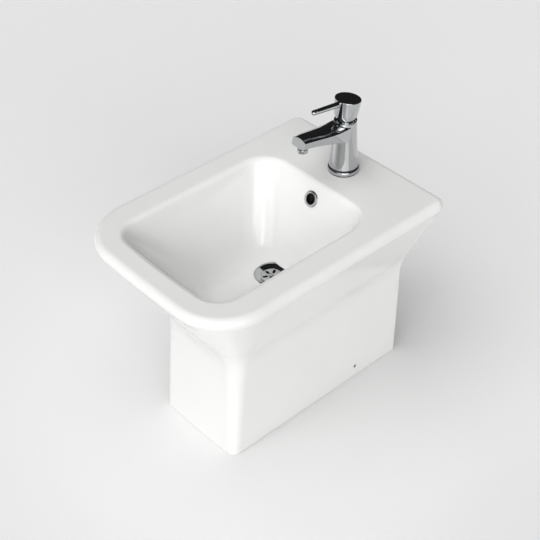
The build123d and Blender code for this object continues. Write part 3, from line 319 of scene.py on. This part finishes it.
# ---------------------------------------------------------------------------
# Brass: backnut, stud, nuts and lever stem, turned from bar and left bare. The
# tool leaves fine rings, and handling tarnishes it in patches.
bare_brass, tree, shader = new_material("turned_brass")
where = add_node(tree, "ShaderNodeTexCoord")
# Tool marks 0.8 mm apart, coarser than the real 0.2 mm so that they show
rings = add_node(tree, "ShaderNodeTexWave", {"bands_direction": "Z"}, {
    "Vector": where.outputs["Object"], "Scale": 390, "Distortion": 0.6, "Detail": 1})
tarnish = add_node(tree, "ShaderNodeTexNoise", {}, {
    "Vector": where.outputs["Object"], "Scale": 70, "Detail": 5})
shade = add_node(tree, "ShaderNodeMix", {"data_type": "RGBA"}, {
    "Factor": tarnish.outputs["Fac"], 6: linear("#D0AC62"), 7: linear("#A98246")})
tree.links.new(shade.outputs[2], shader.inputs["Base Color"])
dull = add_node(tree, "ShaderNodeMapRange", {}, {
    "Value": tarnish.outputs["Fac"], "To Min": 0.2, "To Max": 0.42})
tree.links.new(dull.outputs["Result"], shader.inputs["Roughness"])
marks = add_node(tree, "ShaderNodeBump", {}, {
    "Height": rings.outputs["Fac"], "Distance": 0.00005, "Strength": 0.6})
tree.links.new(marks.outputs["Normal"], shader.inputs["Normal"])
shader.inputs["Metallic"].default_value = 1
dress(bare_brass, "waste_backnut", "tap_stud", "tap_fixing_nut", "cartridge_nut", "lever_stem")

# ---------------------------------------------------------------------------
# Steel: pressed and turned steel, zinc plated and passivated. Soft grey with a
# faint blue and straw bloom and a fine crystal grain.
zinc_steel, tree, shader = new_material("zinc_plated_steel")
where = add_node(tree, "ShaderNodeTexCoord")
bloom = add_node(tree, "ShaderNodeTexNoise", {}, {
    "Vector": where.outputs["Object"], "Scale": 45, "Detail": 4})
crystal = add_node(tree, "ShaderNodeTexVoronoi", {}, {"Vector": where.outputs["Object"], "Scale": 500})
shade = add_node(tree, "ShaderNodeMix", {"data_type": "RGBA"}, {
    "Factor": bloom.outputs["Fac"], 6: linear("#AEB6C0"), 7: linear("#C3BEAF")})
tree.links.new(shade.outputs[2], shader.inputs["Base Color"])
dull = add_node(tree, "ShaderNodeMapRange", {}, {
    "Value": crystal.outputs["Distance"], "To Min": 0.28, "To Max": 0.45})
tree.links.new(dull.outputs["Result"], shader.inputs["Roughness"])
relief = add_node(tree, "ShaderNodeBump", {}, {
    "Height": crystal.outputs["Distance"], "Distance": 0.00004, "Strength": 0.5})
tree.links.new(relief.outputs["Normal"], shader.inputs["Normal"])
shader.inputs["Metallic"].default_value = 1
dress(zinc_steel, "tap_plate_horseshoe", "stem_pin", "grub_screw", "floor_brackets", "fixing_screws")

# ---------------------------------------------------------------------------
# Supply tails: 10 mm copper tube, drawn and bent. Warm metal with lengthwise
# drawing lines and brown tarnish.
copper_tube, tree, shader = new_material("drawn_copper_tube")
where = add_node(tree, "ShaderNodeTexCoord")
# Drawing lines about 1 mm apart and 40 mm long
stretch = add_node(tree, "ShaderNodeMapping", {}, {
    "Vector": where.outputs["Object"], "Scale": (1000, 1000, 25)})
lines = add_node(tree, "ShaderNodeTexNoise", {}, {
    "Vector": stretch.outputs["Vector"], "Scale": 1, "Detail": 2})
tarnish = add_node(tree, "ShaderNodeTexNoise", {}, {
    "Vector": where.outputs["Object"], "Scale": 35, "Detail": 5})
shade = add_node(tree, "ShaderNodeMix", {"data_type": "RGBA"}, {
    "Factor": tarnish.outputs["Fac"], 6: linear("#D28A66"), 7: linear("#94573E")})
tree.links.new(shade.outputs[2], shader.inputs["Base Color"])
dull = add_node(tree, "ShaderNodeMapRange", {}, {
    "Value": tarnish.outputs["Fac"], "To Min": 0.18, "To Max": 0.45})
tree.links.new(dull.outputs["Result"], shader.inputs["Roughness"])
marks = add_node(tree, "ShaderNodeBump", {}, {
    "Height": lines.outputs["Fac"], "Distance": 0.00005, "Strength": 0.5})
tree.links.new(marks.outputs["Normal"], shader.inputs["Normal"])
shader.inputs["Metallic"].default_value = 1
dress(copper_tube, "hot_tail_pipe", "cold_tail_pipe")

# ---------------------------------------------------------------------------
# Cartridge and aerator mouldings: acetal, injection moulded, dense and slippery
# with a soft sheen.
acetal, tree, shader = new_material("moulded_acetal")
where = add_node(tree, "ShaderNodeTexCoord")
clouds = add_node(tree, "ShaderNodeTexNoise", {}, {
    "Vector": where.outputs["Object"], "Scale": 150, "Detail": 2})
shade = add_node(tree, "ShaderNodeMix", {"data_type": "RGBA"}, {
    "Factor": clouds.outputs["Fac"], 6: linear("#CFCFCA"), 7: linear("#DCDCD7")})
tree.links.new(shade.outputs[2], shader.inputs["Base Color"])
satin = add_node(tree, "ShaderNodeMapRange", {}, {
    "Value": clouds.outputs["Fac"], "To Min": 0.28, "To Max": 0.4})
tree.links.new(satin.outputs["Result"], shader.inputs["Roughness"])
shader.inputs["IOR"].default_value = 1.48
dress(acetal, "cartridge_housing", "disc_carrier", "cartridge_rotor", "aerator_seat", "aerator_insert")

# ---------------------------------------------------------------------------
# Discs: sintered alumina, lapped flat to a mirror. Cool ivory white.
alumina, tree, shader = new_material("lapped_alumina")
where = add_node(tree, "ShaderNodeTexCoord")
sinter = add_node(tree, "ShaderNodeTexNoise", {}, {
    "Vector": where.outputs["Object"], "Scale": 600, "Detail": 2})
shade = add_node(tree, "ShaderNodeMix", {"data_type": "RGBA"}, {
    "Factor": sinter.outputs["Fac"], 6: linear("#E4E3DC"), 7: linear("#EFEEE8")})
tree.links.new(shade.outputs[2], shader.inputs["Base Color"])
lapped = add_node(tree, "ShaderNodeMapRange", {}, {
    "Value": sinter.outputs["Fac"], "To Min": 0.1, "To Max": 0.2})
tree.links.new(lapped.outputs["Result"], shader.inputs["Roughness"])
shader.inputs["IOR"].default_value = 1.76
dress(alumina, "fixed_disc", "moving_disc")
